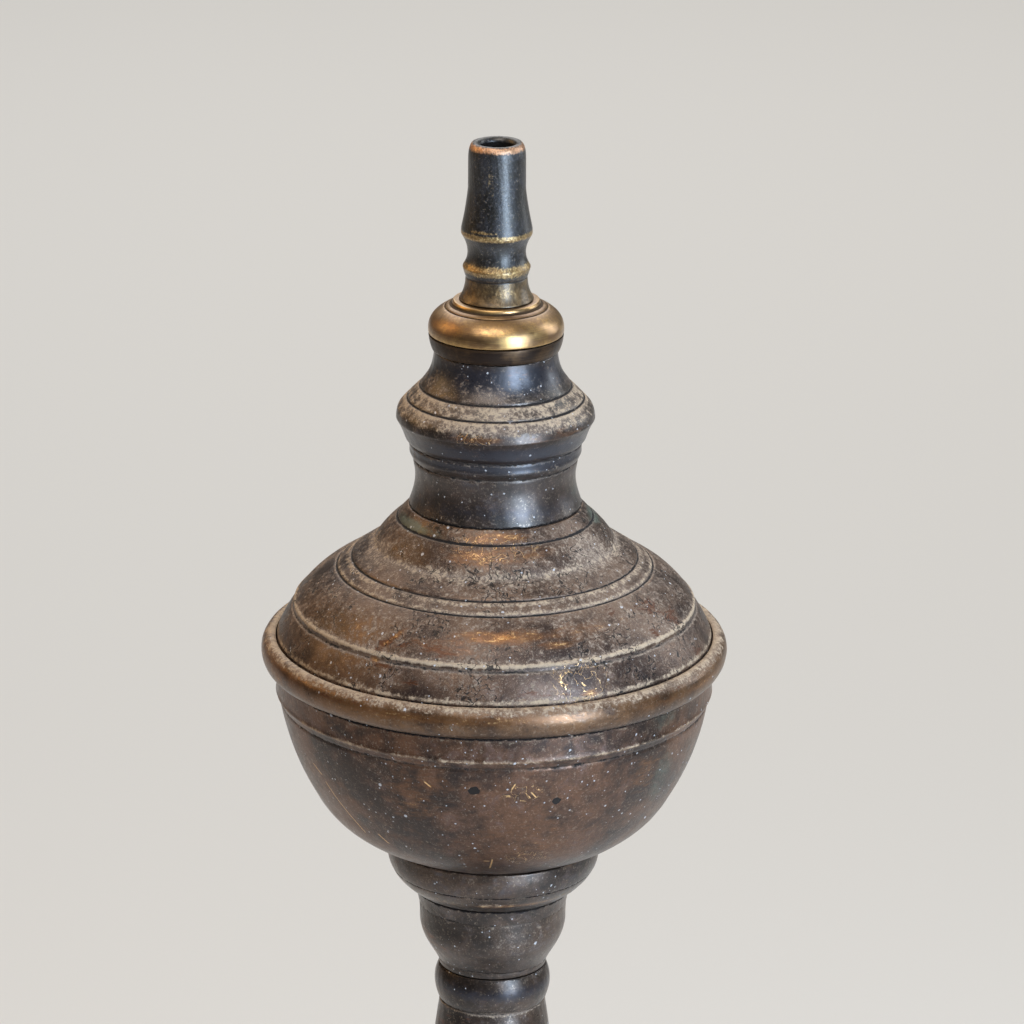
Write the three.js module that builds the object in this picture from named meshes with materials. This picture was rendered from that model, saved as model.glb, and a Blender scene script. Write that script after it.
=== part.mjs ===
// Standing oil lamp with a covered reservoir: a turned brass stem on a hollow foot, a bowl with a
// stepped shoulder for its lid, a bulged neck and a screw cap that carries the wick nozzle.
// Millimetres, +Z up, origin on the floor at the centre of the foot.
import * as THREE from 'three';

// Driving dimensions
const FOOT_RADIUS = 115;
const RIM_RADIUS = 90;
const CORE_RADIUS = 9; // hollow core that runs up the whole stem
const SPIGOT_RADIUS = 14; // threaded spigot on top of each stem section, thread left smooth
const SPIGOT_LENGTH = 7.7;
const SOCKET_RADIUS = 14.3;
const SOCKET_DEPTH = 8;
const JOINT_GAP = 0.3; // air between seated neighbours

const HEIGHT = {
  foot_base: 64,
  stem_foot: 85.7,
  lower_knop: 61.7,
  lower_shaft: 85.7,
  middle_knop: 47.7,
  upper_shaft: 119.4,
  lower_cup: 32.3,
  bowl_collar: 19.4,
  reservoir_bowl: 75.5,
  shoulder_dome: 64.2,
  neck_casting: 61.5,
  mouth_collar: 6.3,
  screw_cap: 12.9,
  wick_nozzle: 62.3,
};

const STUD = { radius: 12, length: 24, hole: 12.4 }; // clamps the stem to the foot
const NUT = { acrossCorners: 38, height: 9 };
const WASHER = { outer: 20, thickness: 2.2 };
const BOWL_RECESS = { radius: 38.5, depth: 2.5 }; // the collar's dished top, where the bowl sits
const SKIRT = { radius: 84.2, wall: 2 }; // the shoulder's edge inside the rim bead
const LID_SPIGOT = { outer: 81.5, inner: 79.4, below: 11.6, above: 10 };
const MOUTH = { bore: 19.4, plug: 21.4, plugLength: 9.9, neckBore: 21.8 };
const CAP_SKIRT = { radius: 18.6, length: 9 };
const SEAL = { inner: 19.4, outer: 23.5, thickness: 1.5, recess: 23.9 };
const NOZZLE = { bore: 6.6, spigot: 9, spigotLength: 9.4, capHole: 9.3 };
const GUIDE = { outer: 6.2, inner: 5, below: 184, topUnderLip: 15 };
const WICK = { radius: 4.2, tailBelowGuide: 6, topUnderLip: 10 };

// Facets round each kind of piece, multiples of four so that all line up at rest
const FACETS = { large: 32, medium: 24, small: 20, tube: 12 };
const CURVE_STEPS = 3;

const BRONZE = { color: 0x3d2b20, roughness: 0.45, metalness: 0.9 };
const DARK_BRONZE = { color: 0x23242a, roughness: 0.4, metalness: 0.9 };
const BRASS = { color: 0x9a7a35, roughness: 0.35, metalness: 1 };
const LEATHER = { color: 0x4a3222, roughness: 0.85, metalness: 0 };
const COTTON = { color: 0xb9ad92, roughness: 0.95, metalness: 0 };

// Where each seated piece stands, from the floor up
const SEAT = {};
let top = 0;
for (const name of ['foot_base', 'stem_foot', 'lower_knop', 'lower_shaft', 'middle_knop',
  'upper_shaft', 'lower_cup', 'bowl_collar']) {
  SEAT[name] = top;
  top += HEIGHT[name] + JOINT_GAP;
}
top += -BOWL_RECESS.depth;
for (const name of ['reservoir_bowl', 'shoulder_dome', 'neck_casting', 'mouth_collar', 'screw_cap',
  'wick_nozzle']) {
  SEAT[name] = top;
  top += HEIGHT[name] + JOINT_GAP;
}
const LIP = top - JOINT_GAP;

const lamp = new THREE.Group();
lamp.name = 'covered_standing_oil_lamp';

function add(name, geometry, look, z) {
  const material = new THREE.MeshStandardMaterial(look);
  const mesh = new THREE.Mesh(geometry, material);
  mesh.name = name;
  mesh.position.z = z;
  lamp.add(mesh);
}

// Turns an outline (x = radius, y = height) about the lamp's axis. It runs up the outside and down
// the inside, and starts and ends on the axis or closes on itself.
function turned(outline, facets) {
  const points = outline.getPoints(CURVE_STEPS);
  return new THREE.LatheGeometry(points, facets).rotateX(Math.PI / 2);
}

function startAt(radius, height) {
  const outline = new THREE.Path();
  outline.moveTo(radius, height);
  return outline;
}

// A round bead that swells out from a wall of the given radius up to height z
function bead(outline, radius, swell, z) {
  const from = outline.currentPoint.y;
  return outline.quadraticCurveTo(radius + 2 * swell, (from + z) / 2, radius, z);
}

function ring(inner, outer, bottom, height) {
  return startAt(inner, bottom)
    .lineTo(outer, bottom)
    .lineTo(outer, bottom + height)
    .lineTo(inner, bottom + height)
    .lineTo(inner, bottom);
}

// Closes a stem section: the spigot on top, the core, and the socket below
function spigotAndSocket(outline, height) {
  return outline
    .lineTo(SPIGOT_RADIUS, height)
    .lineTo(SPIGOT_RADIUS, height + SPIGOT_LENGTH)
    .lineTo(CORE_RADIUS, height + SPIGOT_LENGTH)
    .lineTo(CORE_RADIUS, SOCKET_DEPTH)
    .lineTo(SOCKET_RADIUS, SOCKET_DEPTH)
    .lineTo(SOCKET_RADIUS, 0);
}

// Hollow cast foot: flange, cove, bead, a long sweep and a small drum
function footBase() {
  const h = HEIGHT.foot_base;
  const outline = startAt(FOOT_RADIUS - 7, 0)
    .lineTo(FOOT_RADIUS, 0)
    .lineTo(FOOT_RADIUS, 5)
    .lineTo(FOOT_RADIUS - 5, 8)
    .quadraticCurveTo(FOOT_RADIUS - 15, 9, FOOT_RADIUS - 17, 16);
  bead(outline, FOOT_RADIUS - 17, 2, 21)
    .bezierCurveTo(82, 25, 62, 28, 53, 45)
    .lineTo(50, 46);
  bead(outline, 50, 1.8, 51)
    .quadraticCurveTo(47, 57, 41, h)
    .lineTo(STUD.hole, h)
    .lineTo(STUD.hole, h - 6)
    .lineTo(34, h - 6)
    .lineTo(44, 48)
    .bezierCurveTo(55, 28, 76, 21, 94, 16)
    .lineTo(FOOT_RADIUS - 17, 8)
    .lineTo(FOOT_RADIUS - 7, 0);
  return outline;
}

// Bell that stands on the foot, with the stud that goes down through it
function stemFoot() {
  const h = HEIGHT.stem_foot;
  const outline = startAt(CORE_RADIUS, -STUD.length)
    .lineTo(STUD.radius, -STUD.length)
    .lineTo(STUD.radius, 0)
    .lineTo(38, 0);
  bead(outline, 38, 2, 9)
    .lineTo(35.5, 11)
    .bezierCurveTo(24, 18, 20, 36, 19.5, 62)
    .lineTo(21.5, 66);
  bead(outline, 21.5, 2.2, 77)
    .lineTo(19.6, 80)
    .lineTo(21.5, h)
    .lineTo(SPIGOT_RADIUS, h)
    .lineTo(SPIGOT_RADIUS, h + SPIGOT_LENGTH)
    .lineTo(CORE_RADIUS, h + SPIGOT_LENGTH)
    .lineTo(CORE_RADIUS, -STUD.length);
  return outline;
}

// A knop: bead, bulb, bead
function knop(height, bulb, neck) {
  const outline = startAt(SOCKET_RADIUS, 0).lineTo(neck, 0);
  bead(outline, neck, 1.8, 8)
    .lineTo(neck - 1.5, 10)
    .bezierCurveTo(bulb + 2, height * 0.2, bulb + 3, height * 0.62, neck - 2, height - 12)
    .lineTo(neck - 1, height - 10);
  bead(outline, neck - 1, 1.6, height - 2)
    .lineTo(neck - 2, height);
  return spigotAndSocket(outline, height);
}

// A slender shaft, waisted between two beads
function lowerShaft() {
  const h = HEIGHT.lower_shaft;
  const outline = startAt(SOCKET_RADIUS, 0).lineTo(19.5, 0);
  bead(outline, 19.5, 1.5, 8)
    .lineTo(18.2, 10)
    .quadraticCurveTo(15.6, h / 2, 18.2, h - 10)
    .lineTo(19.5, h - 8);
  bead(outline, 19.5, 1.5, h);
  return spigotAndSocket(outline, h);
}

// The shaft under the cup: it swells slowly upwards and ends in a bead and a waist
function upperShaft() {
  const h = HEIGHT.upper_shaft;
  const outline = startAt(SOCKET_RADIUS, 0).lineTo(18.5, 0);
  bead(outline, 18.5, 1.6, 8)
    .lineTo(17, 11)
    .bezierCurveTo(19, 36, 28, 62, 21, h - 17)
    .lineTo(20.9, h - 14.7)
    .bezierCurveTo(22.4, h - 11.5, 24.2, h - 5.5, 20.9, h);
  return spigotAndSocket(outline, h);
}

function lowerCup() {
  const h = HEIGHT.lower_cup;
  const outline = startAt(SOCKET_RADIUS, 0)
    .lineTo(21, 0)
    .bezierCurveTo(21.8, 6, 28.6, 10.5, 28.7, 19.5)
    .bezierCurveTo(28.7, 24, 29, 28.5, 30.6, h);
  return spigotAndSocket(outline, h);
}

// Rounded collar with a dished top for the bowl's foot
function bowlCollar() {
  const h = HEIGHT.bowl_collar;
  const dish = h - BOWL_RECESS.depth;
  const outline = startAt(SOCKET_RADIUS, 0)
    .lineTo(30.9, 0)
    .bezierCurveTo(37, 3.5, 41.6, 9, 41.6, 16)
    .lineTo(41.4, h)
    .lineTo(BOWL_RECESS.radius, h)
    .lineTo(BOWL_RECESS.radius, dish);
  return spigotAndSocket(outline, dish);
}

// Oil bowl: foot disc, round wall, a step under the rim, and a threaded boss in the floor
function reservoirBowl() {
  const h = HEIGHT.reservoir_bowl;
  const footRadius = BOWL_RECESS.radius - JOINT_GAP;
  return startAt(0, SOCKET_DEPTH)
    .lineTo(SOCKET_RADIUS, SOCKET_DEPTH)
    .lineTo(SOCKET_RADIUS, 0)
    .lineTo(footRadius, 0)
    .lineTo(footRadius, 2.7)
    .lineTo(42.5, 3.6)
    .bezierCurveTo(54, 8.2, 64, 14.4, 70.2, 26.4)
    .bezierCurveTo(75.4, 35, 80.6, 47, 83.2, 62)
    .lineTo(84.4, 65.4)
    .lineTo(85, h)
    .lineTo(82.1, h)
    .lineTo(81.6, 63)
    .bezierCurveTo(78, 47, 73, 37, 67.6, 27.6)
    .bezierCurveTo(62, 17.4, 54, 11.4, 43, 6.6)
    .lineTo(19, 4.5)
    .lineTo(19, SOCKET_DEPTH + 5)
    .lineTo(0, SOCKET_DEPTH + 5);
}

// Heavy rolled bead round the shoulder's edge; it overhangs the bowl
function rimBead() {
  const inner = SKIRT.radius + JOINT_GAP;
  return startAt(inner, 0)
    .lineTo(RIM_RADIUS - 3, 0)
    .bezierCurveTo(RIM_RADIUS, 1.6, RIM_RADIUS + 1.4, 7.4, RIM_RADIUS - 1.4, 10.6)
    .quadraticCurveTo(RIM_RADIUS - 3.2, 13, inner, 11.4)
    .lineTo(inner, 0);
}

// Stepped shoulder that covers the bowl, up to the ring that the neck stands on
function shoulderDome() {
  const h = HEIGHT.shoulder_dome;
  const inner = SKIRT.radius - SKIRT.wall;
  return startAt(inner, 0)
    .lineTo(SKIRT.radius, 0)
    .lineTo(SKIRT.radius, 11.8)
    .quadraticCurveTo(82.2, 17.2, 77.9, 23.4)
    .lineTo(77.3, 24.9)
    .quadraticCurveTo(71.5, 33.6, 61.2, 39.4)
    .lineTo(46.6, 49.4)
    .quadraticCurveTo(43.6, 54.6, 37.8, 59.5)
    .lineTo(33.5, h)
    .lineTo(30, h)
    .lineTo(30, 59)
    .lineTo(43, 47.6)
    .lineTo(59, 37)
    .quadraticCurveTo(69, 31, 75, 23)
    .quadraticCurveTo(80.4, 15.4, inner, 10.8)
    .lineTo(inner, 0);
}

// Hollow neck: waist, two thin rings, the bulge with its two steps, and the bore for the mouth collar
function neckCasting() {
  const h = HEIGHT.neck_casting;
  return startAt(30, 0)
    .lineTo(33.4, 0)
    .bezierCurveTo(31, 6.5, 30, 11, 31.4, 16.5)
    .lineTo(31.7, 18.5)
    .lineTo(32.6, 20.6)
    .lineTo(33.3, 25.4)
    .lineTo(34.8, 27.4)
    .bezierCurveTo(35.8, 30, 40.4, 35.6, 36.2, 40.3)
    .lineTo(34.1, 42.6)
    .lineTo(29.2, 47.5)
    .bezierCurveTo(26.4, 51, 24, 54, 23.6, h)
    .lineTo(MOUTH.neckBore, h)
    .lineTo(MOUTH.neckBore, h - 10.4)
    .lineTo(33.2, 38.6)
    .lineTo(33.2, 34.4)
    .lineTo(29.6, 24)
    .lineTo(27.8, 12)
    .lineTo(30, 0);
}

// Band that finishes the neck, with the plug that goes down inside it and the bore for the cap
function mouthCollar() {
  const h = HEIGHT.mouth_collar;
  return startAt(MOUTH.bore, -MOUTH.plugLength)
    .lineTo(MOUTH.plug, -MOUTH.plugLength)
    .lineTo(MOUTH.plug, 0)
    .lineTo(24.3, 0)
    .quadraticCurveTo(25.6, 2.8, 25.8, h)
    .lineTo(MOUTH.bore, h)
    .lineTo(MOUTH.bore, -MOUTH.plugLength);
}

// Cushion-shaped cap with a recess for the seal and a threaded skirt, thread left smooth
function screwCap() {
  const h = HEIGHT.screw_cap;
  const roof = SEAL.thickness + JOINT_GAP;
  return startAt(NOZZLE.capHole, -CAP_SKIRT.length)
    .lineTo(CAP_SKIRT.radius, -CAP_SKIRT.length)
    .lineTo(CAP_SKIRT.radius, roof)
    .lineTo(SEAL.recess, roof)
    .lineTo(SEAL.recess, 0)
    .lineTo(25.8, 0)
    .bezierCurveTo(26.4, 5, 24.6, 8, 17.1, 11.4)
    .lineTo(16.4, h)
    .lineTo(NOZZLE.capHole, h)
    .lineTo(NOZZLE.capHole, -CAP_SKIRT.length);
}

// Nozzle: spigot in the cap, flared root, two sharp rings with a waist between, tapered barrel, lip
function wickNozzle() {
  const h = HEIGHT.wick_nozzle;
  return startAt(NOZZLE.bore, -NOZZLE.spigotLength)
    .lineTo(NOZZLE.spigot, -NOZZLE.spigotLength)
    .lineTo(NOZZLE.spigot, 0)
    .lineTo(14.4, 0)
    .quadraticCurveTo(11.8, 3.4, 11.8, 8.2)
    .lineTo(12.9, 12)
    .quadraticCurveTo(8.8, 18.6, 13.6, 26.6)
    .lineTo(13.4, 28.8)
    .quadraticCurveTo(11.6, 37, 11, 43.5)
    .lineTo(11, 57)
    .quadraticCurveTo(11, h, 8.2, h)
    .lineTo(NOZZLE.bore, h - 0.8)
    .lineTo(NOZZLE.bore, -NOZZLE.spigotLength);
}

function cottonWick(length) {
  return startAt(0, 0)
    .lineTo(WICK.radius, 0)
    .lineTo(WICK.radius, length)
    .lineTo(0, length);
}

// Hexagonal nut with a round hole for the stud
function hexNut() {
  const shape = new THREE.Shape();
  const corner = NUT.acrossCorners / 2;
  shape.moveTo(corner, 0);
  for (let i = 1; i < 6; i += 1) {
    const angle = (i * Math.PI) / 3;
    shape.lineTo(corner * Math.cos(angle), corner * Math.sin(angle));
  }
  const hole = new THREE.Path();
  hole.absarc(0, 0, STUD.hole, 0, 2 * Math.PI, true);
  shape.holes.push(hole);
  return new THREE.ExtrudeGeometry(shape, { depth: NUT.height, bevelEnabled: false, curveSegments: 12 });
}

// Foot and its fastening
const crownUnderside = HEIGHT.foot_base - 6;
const washerSeat = crownUnderside - JOINT_GAP - WASHER.thickness;
add('foot_base', turned(footBase(), FACETS.large), BRONZE, SEAT.foot_base);
add('foot_washer', turned(ring(STUD.hole, WASHER.outer, 0, WASHER.thickness), FACETS.small), BRASS,
  washerSeat);
add('foot_nut', hexNut(), BRASS, washerSeat - JOINT_GAP - NUT.height);

// Stem
add('stem_foot', turned(stemFoot(), FACETS.medium), BRONZE, SEAT.stem_foot);
add('lower_knop', turned(knop(HEIGHT.lower_knop, 40, 23.5), FACETS.medium), BRONZE, SEAT.lower_knop);
add('lower_shaft', turned(lowerShaft(), FACETS.small), BRONZE, SEAT.lower_shaft);
add('middle_knop', turned(knop(HEIGHT.middle_knop, 33, 20.5), FACETS.medium), BRONZE, SEAT.middle_knop);
add('upper_shaft', turned(upperShaft(), FACETS.medium), BRONZE, SEAT.upper_shaft);
add('lower_cup', turned(lowerCup(), FACETS.medium), BRONZE, SEAT.lower_cup);
add('bowl_collar', turned(bowlCollar(), FACETS.large), BRONZE, SEAT.bowl_collar);

// Reservoir
add('reservoir_bowl', turned(reservoirBowl(), FACETS.large), BRONZE, SEAT.reservoir_bowl);
add('rim_bead', turned(rimBead(), FACETS.large), BRONZE, SEAT.shoulder_dome);
add('shoulder_dome', turned(shoulderDome(), FACETS.large), BRONZE, SEAT.shoulder_dome);
add('lid_spigot', turned(ring(LID_SPIGOT.inner, LID_SPIGOT.outer, -LID_SPIGOT.below,
  LID_SPIGOT.below + LID_SPIGOT.above), FACETS.large), BRONZE, SEAT.shoulder_dome);
add('neck_casting', turned(neckCasting(), FACETS.medium), DARK_BRONZE, SEAT.neck_casting);
add('mouth_collar', turned(mouthCollar(), FACETS.medium), BRASS, SEAT.mouth_collar);

// Burner
const guideTop = LIP - GUIDE.topUnderLip;
const guideBottom = SEAT.screw_cap - GUIDE.below + JOINT_GAP;
add('cap_seal', turned(ring(SEAL.inner, SEAL.outer, 0, SEAL.thickness), FACETS.medium), LEATHER,
  SEAT.screw_cap);
add('screw_cap', turned(screwCap(), FACETS.medium), BRASS, SEAT.screw_cap);
add('wick_nozzle', turned(wickNozzle(), FACETS.small), DARK_BRONZE, SEAT.wick_nozzle);
add('guide_tube', turned(ring(GUIDE.inner, GUIDE.outer, 0, guideTop - guideBottom), FACETS.tube), BRASS,
  guideBottom);

const wickBottom = guideBottom - WICK.tailBelowGuide;
const wickTop = LIP - WICK.topUnderLip;
add('wick', turned(cottonWick(wickTop - wickBottom), FACETS.tube), COTTON, wickBottom);

export default lamp;
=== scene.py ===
import math
from dataclasses import dataclass

import bmesh
import bpy
import numpy as np
from mathutils import Matrix, Vector


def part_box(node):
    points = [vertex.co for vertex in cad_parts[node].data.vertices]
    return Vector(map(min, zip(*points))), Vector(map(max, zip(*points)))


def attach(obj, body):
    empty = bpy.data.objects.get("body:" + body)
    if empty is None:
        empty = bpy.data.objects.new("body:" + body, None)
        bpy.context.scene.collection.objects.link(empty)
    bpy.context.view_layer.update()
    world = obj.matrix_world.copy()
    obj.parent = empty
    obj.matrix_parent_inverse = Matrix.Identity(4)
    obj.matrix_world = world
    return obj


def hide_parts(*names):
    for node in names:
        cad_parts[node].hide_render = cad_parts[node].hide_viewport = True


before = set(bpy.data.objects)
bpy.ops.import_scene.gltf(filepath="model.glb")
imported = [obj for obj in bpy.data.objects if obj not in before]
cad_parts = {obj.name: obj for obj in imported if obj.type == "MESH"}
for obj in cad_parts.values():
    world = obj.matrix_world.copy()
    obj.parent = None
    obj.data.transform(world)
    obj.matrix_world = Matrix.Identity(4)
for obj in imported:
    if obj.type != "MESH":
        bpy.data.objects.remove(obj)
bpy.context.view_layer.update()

MM = 0.001
FINE = 0.2  # mm between the points an outline is worked out at
SOFT_CORNER = 0.32  # mm, spread that rounds the corners of an outline
LONGEST_OUTSIDE_ROW = 1.3  # mm between rows of faces
LONGEST_INSIDE_ROW = 4.0
SHARPEST_ROW = math.radians(10)  # most that the outline may turn between rows
THREAD_ROW = 0.3  # mm between rows on a thread
THREAD_PITCH = 3.0  # mm a turn
FADE = 3.0  # mm over which hand unevenness dies out towards a seat
SEED = 7


# ---------------------------------------------------------------- outlines

def bezier(control, count):
    """Points on a Bezier curve, after its first one."""
    t = np.linspace(0, 1, count + 1)[1:, None]
    n = len(control) - 1
    terms = [math.comb(n, i) * t**i * (1 - t) ** (n - i) * np.array(p) for i, p in enumerate(control)]
    return sum(terms)


def trace(start, moves):
    """Points along moves from start: two numbers are a line, four a quadratic, six a cubic curve."""
    points = [np.array([start], float)]
    for move in moves:
        control = np.concatenate([points[-1][-1:], np.reshape(move, (-1, 2))])
        reach = np.linalg.norm(np.diff(control, axis=0), axis=1).sum()
        points.append(bezier(control, max(1, round(reach / FINE))))
    return np.concatenate(points)


def bell(away, spread):
    return np.exp(-0.5 * (away / spread) ** 2)


def smooth(values, spread, closed):
    """Gaussian smoothing along an outline sampled every FINE mm."""
    reach = max(1, round(4 * spread / FINE))
    weights = bell(np.arange(-reach, reach + 1) * FINE, spread)
    padded = np.pad(values, reach, mode="wrap" if closed else "edge")
    return np.convolve(padded, weights / weights.sum(), mode="valid")


@dataclass
class Line:
    """A line round the outside of a piece: what is cut in it, what has collected there, and any painted
    shadow beside it.
    """
    radius: float
    height: float
    depth: float = 0.0  # of its groove, or of a ridge when below zero
    width: float = 0.4
    dust: float = 0.0
    spread: float = 1.2
    up: float = 0.0  # how far along the outline its dust lies
    grime_and_shadow: float = 0.0
    dark: float = 0.5  # spread of the grime and painted shadow
    blued: float = 0.0  # blue-black tint about it
    reach: float = 3.0


@dataclass
class Thread:
    """A thread on the wall at a radius, between two heights; below zero its depth stands out."""
    low: float
    high: float
    radius: float
    depth: float


class Profile:
    """The rows of a turned piece: place, outward normal, what collects or wears at each row, and painted
    shadow.
    """

    def __init__(self, outer, inner, seat, lines, thread, soft):
        self.seat = seat
        outside = trace(outer[0], outer[1:])
        whole = np.concatenate([outside, trace(outside[-1], inner)[1:]])
        self.closed = bool(np.allclose(whole[-1], whole[0]))
        along = np.concatenate([[0], np.cumsum(np.linalg.norm(np.diff(whole, axis=0), axis=1))])
        self.outer_length = np.linalg.norm(np.diff(outside, axis=0), axis=1).sum()
        count = max(8, round(along[-1] / FINE))
        s = np.linspace(0, along[-1], count + 1)
        if self.closed:
            s = s[:-1]
        r = smooth(np.interp(s, along, whole[:, 0]), soft, self.closed)
        z = smooth(np.interp(s, along, whole[:, 1]), soft, self.closed)
        slope = self.slopes(r, z)
        normal = np.stack([slope[:, 1], -slope[:, 0]], 1)
        dust, grime_and_shadow, blued = np.zeros((3, len(s)))
        outside_now = s <= self.outer_length
        for line in lines:
            away = np.where(outside_now, np.hypot(r - line.radius, z - line.height), 1e3)
            near = s - s[int(np.argmin(away))]
            dent = line.depth * bell(near, line.width)
            r -= dent * normal[:, 0]
            z -= dent * normal[:, 1]
            dust += line.dust * bell(near - line.up, line.spread)
            grime_and_shadow += line.grime_and_shadow * bell(near, line.dark)
            blued += line.blued * bell(near, line.reach)
        slope = self.slopes(r, z)
        turn = self.turning(slope)
        edge = np.clip(smooth(turn, 0.35, self.closed) / 0.5, 0, 1)
        hollow = np.clip(-smooth(turn, 0.8, self.closed) / 0.22, 0, 1)
        rows = self.rows(s, turn, z, thread)
        self.s = rows
        self.r, self.z = np.interp(rows, s, r), np.interp(rows, s, z) + seat
        self.normal = np.stack([np.interp(rows, s, slope[:, 1]), np.interp(rows, s, -slope[:, 0])], 1)
        self.edge, self.hollow = np.interp(rows, s, edge), np.interp(rows, s, hollow)
        self.dust, self.grime_and_shadow = np.interp(rows, s, dust), np.interp(rows, s, grime_and_shadow)
        self.blued = np.clip(np.interp(rows, s, blued), 0, 1)
        self.inside = (rows > self.outer_length).astype(float)
        from_seat = np.minimum(rows, self.outer_length - rows)
        self.free = np.clip(from_seat / FADE, 0, 1)
        if not self.closed:
            self.r[0] = self.r[-1] = 0.0

    def slopes(self, r, z):
        if self.closed:
            d = np.stack([np.roll(r, -1) - np.roll(r, 1), np.roll(z, -1) - np.roll(z, 1)], 1)
        else:
            d = np.stack([np.gradient(r), np.gradient(z)], 1)
        return d / np.maximum(np.linalg.norm(d, axis=1, keepdims=True), 1e-9)

    def turning(self, slope):
        """Turn per mm: above zero at a convex corner, below it in a hollow."""
        ahead = np.roll(slope, -1, axis=0)
        cross = slope[:, 0] * ahead[:, 1] - slope[:, 1] * ahead[:, 0]
        turn = np.arcsin(np.clip(cross, -1, 1)) / FINE
        if not self.closed:
            turn[-1] = 0
        return turn

    def rows(self, s, turn, z, thread):
        """Where the rows go: close where the outline turns or is threaded, further apart elsewhere."""
        step = np.where(s <= self.outer_length, LONGEST_OUTSIDE_ROW, LONGEST_INSIDE_ROW)
        if thread:
            step = np.where((z > thread.low) & (z < thread.high), np.minimum(step, THREAD_ROW), step)
        cost = np.cumsum(FINE / step + np.abs(turn) * FINE / SHARPEST_ROW)
        count = max(12, math.ceil(cost[-1]))
        marks = np.linspace(cost[0], cost[-1], count + 1)
        if self.closed:
            marks = marks[:-1]
        return np.interp(marks, cost, s)


# ---------------------------------------------------------------- meshes

def uneven(rng, angle, along, size, turns, lengths, count=10):
    """Smooth hand unevenness: sines round the piece and along its outline."""
    total = 0
    for _ in range(count):
        round_it = rng.integers(turns[0], turns[1] + 1) * angle + rng.uniform(0, 2 * math.pi)
        total = total + np.cos(round_it + along * 2 * math.pi / rng.uniform(*lengths))
    return size * total / math.sqrt(count)


def to_mesh(name, points, faces):
    mesh = bpy.data.meshes.new(name)
    mesh.from_pydata((points * MM).tolist(), [], faces)
    mesh.shade_smooth()
    mesh.validate()
    return mesh


def paint(mesh, name, values):
    """Stores a value for each point, which the materials read by name."""
    layer = mesh.attributes.new(name, "FLOAT", "POINT")
    layer.data.foreach_set("value", np.ascontiguousarray(values, np.float32))


def grid_faces(rows, columns, closed):
    """Quads between rows of points that run round an axis."""
    i = np.arange(rows if closed else rows - 1)[:, None]
    j = np.arange(columns)[None, :]
    below, above = i * columns, (i + 1) % rows * columns
    ahead = (j + 1) % columns
    quads = np.stack([below + j, below + ahead, above + ahead, above + j], -1)
    return quads.reshape(-1, 4).tolist()


def spot_amounts(profile, angle, spots, kind):
    """How strongly a kind of spot covers each point. A spot is (kind, angle, height, half width, half
    height, strength, tilt), with the angle and tilt in degrees and the lengths in mm."""
    total = np.zeros((len(profile.s), len(angle)))
    outside = profile.inside < 0.5
    for spot in spots:
        if spot[0] != kind:
            continue
        at, height, wide, high, strength = spot[1:6]
        tilt = math.radians(spot[6]) if len(spot) > 6 else 0
        away = np.where(outside, np.abs(profile.z - profile.seat - height), 1e3)
        middle = profile.s[int(np.argmin(away))]
        turn = (angle - math.radians(at) + math.pi) % (2 * math.pi) - math.pi
        u = turn[None, :] * profile.r[:, None]
        v = (profile.s - middle)[:, None]
        across = u * math.cos(tilt) + v * math.sin(tilt)
        up = v * math.cos(tilt) - u * math.sin(tilt)
        cover = strength * np.exp(-0.5 * ((across / wide) ** 2 + (up / high) ** 2) ** 1.5)
        total = np.maximum(total, cover * outside[:, None])
    return total


def all_round(kind, height, high, strength):
    """Two wide spots, front and back, that meet at the sides."""
    return [(kind, at, height, 90, high, strength) for at in (0, 180)]


def seat_of(node, below=0.0):
    """Height in mm of a CAD node's seat, when the node reaches a length below it."""
    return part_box(node)[0].z / MM + below


def length_of(node):
    low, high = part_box(node)
    return (high.z - low.z) / MM


def thread_cut(profile, angle, thread):
    """How much a thread takes off the radius at each point."""
    height = profile.z - profile.seat
    on = (height > thread.low) & (height < thread.high) & (np.abs(profile.normal[:, 0]) > 0.9)
    on = on & (np.abs(profile.r - thread.radius) < 1.5)
    ridge = 0.5 + 0.5 * np.cos(2 * math.pi * height[:, None] / THREAD_PITCH - angle)
    return on[:, None] * thread.depth * ridge * np.sign(profile.normal[:, :1])


def turned(node, body, slot, look, outer, inner, below=0.0, segments=320, lines=(), thread=None,
           spots=(), rough=1.0, soft=SOFT_CORNER, shape=None):
    """A turned piece that replaces a CAD node. below is how far the piece reaches under its seat."""
    profile = Profile(outer, inner, seat_of(node, below), lines, thread, soft)
    rng = np.random.default_rng([SEED, *node.encode()])
    angle = np.arange(segments) * 2 * math.pi / segments
    a, s = angle[None, :], profile.s[:, None]
    free = profile.free[:, None] * rough
    bump = free * uneven(rng, a, s, 0.10, (1, 6), (40, 140))
    bump = bump + free * uneven(rng, a, s, 0.03, (9, 40), (7, 25), 14)
    r = profile.r[:, None] + bump * profile.normal[:, :1]
    z = profile.z[:, None] + bump * profile.normal[:, 1:]
    if thread:
        r = r - thread_cut(profile, a, thread)
    if shape:
        r = shape(r, a, profile)
    points = np.stack([r * np.sin(a), -r * np.cos(a), z + 0 * a], -1).reshape(-1, 3)
    mesh = to_mesh(f"{node}_turned", points, grid_faces(len(profile.s), segments, profile.closed))
    layers = {"edge": profile.edge, "hollow": profile.hollow, "up": np.clip(profile.normal[:, 1], 0, 1),
              "under": np.clip(-profile.normal[:, 1], 0, 1), "inside": profile.inside,
              "line_dust": profile.dust, "line_grime_and_shadow": profile.grime_and_shadow, "blued": profile.blued}
    for name, values in layers.items():
        paint(mesh, name, np.repeat(values, segments))
    for kind in ("rub_and_painted_light", "stain", "hairline", "verdigris", "pale", "pit"):
        paint(mesh, kind, spot_amounts(profile, angle, spots, kind).ravel())
    if not profile.closed:
        close_poles(mesh)
    return place(mesh, node, body, look)


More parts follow.
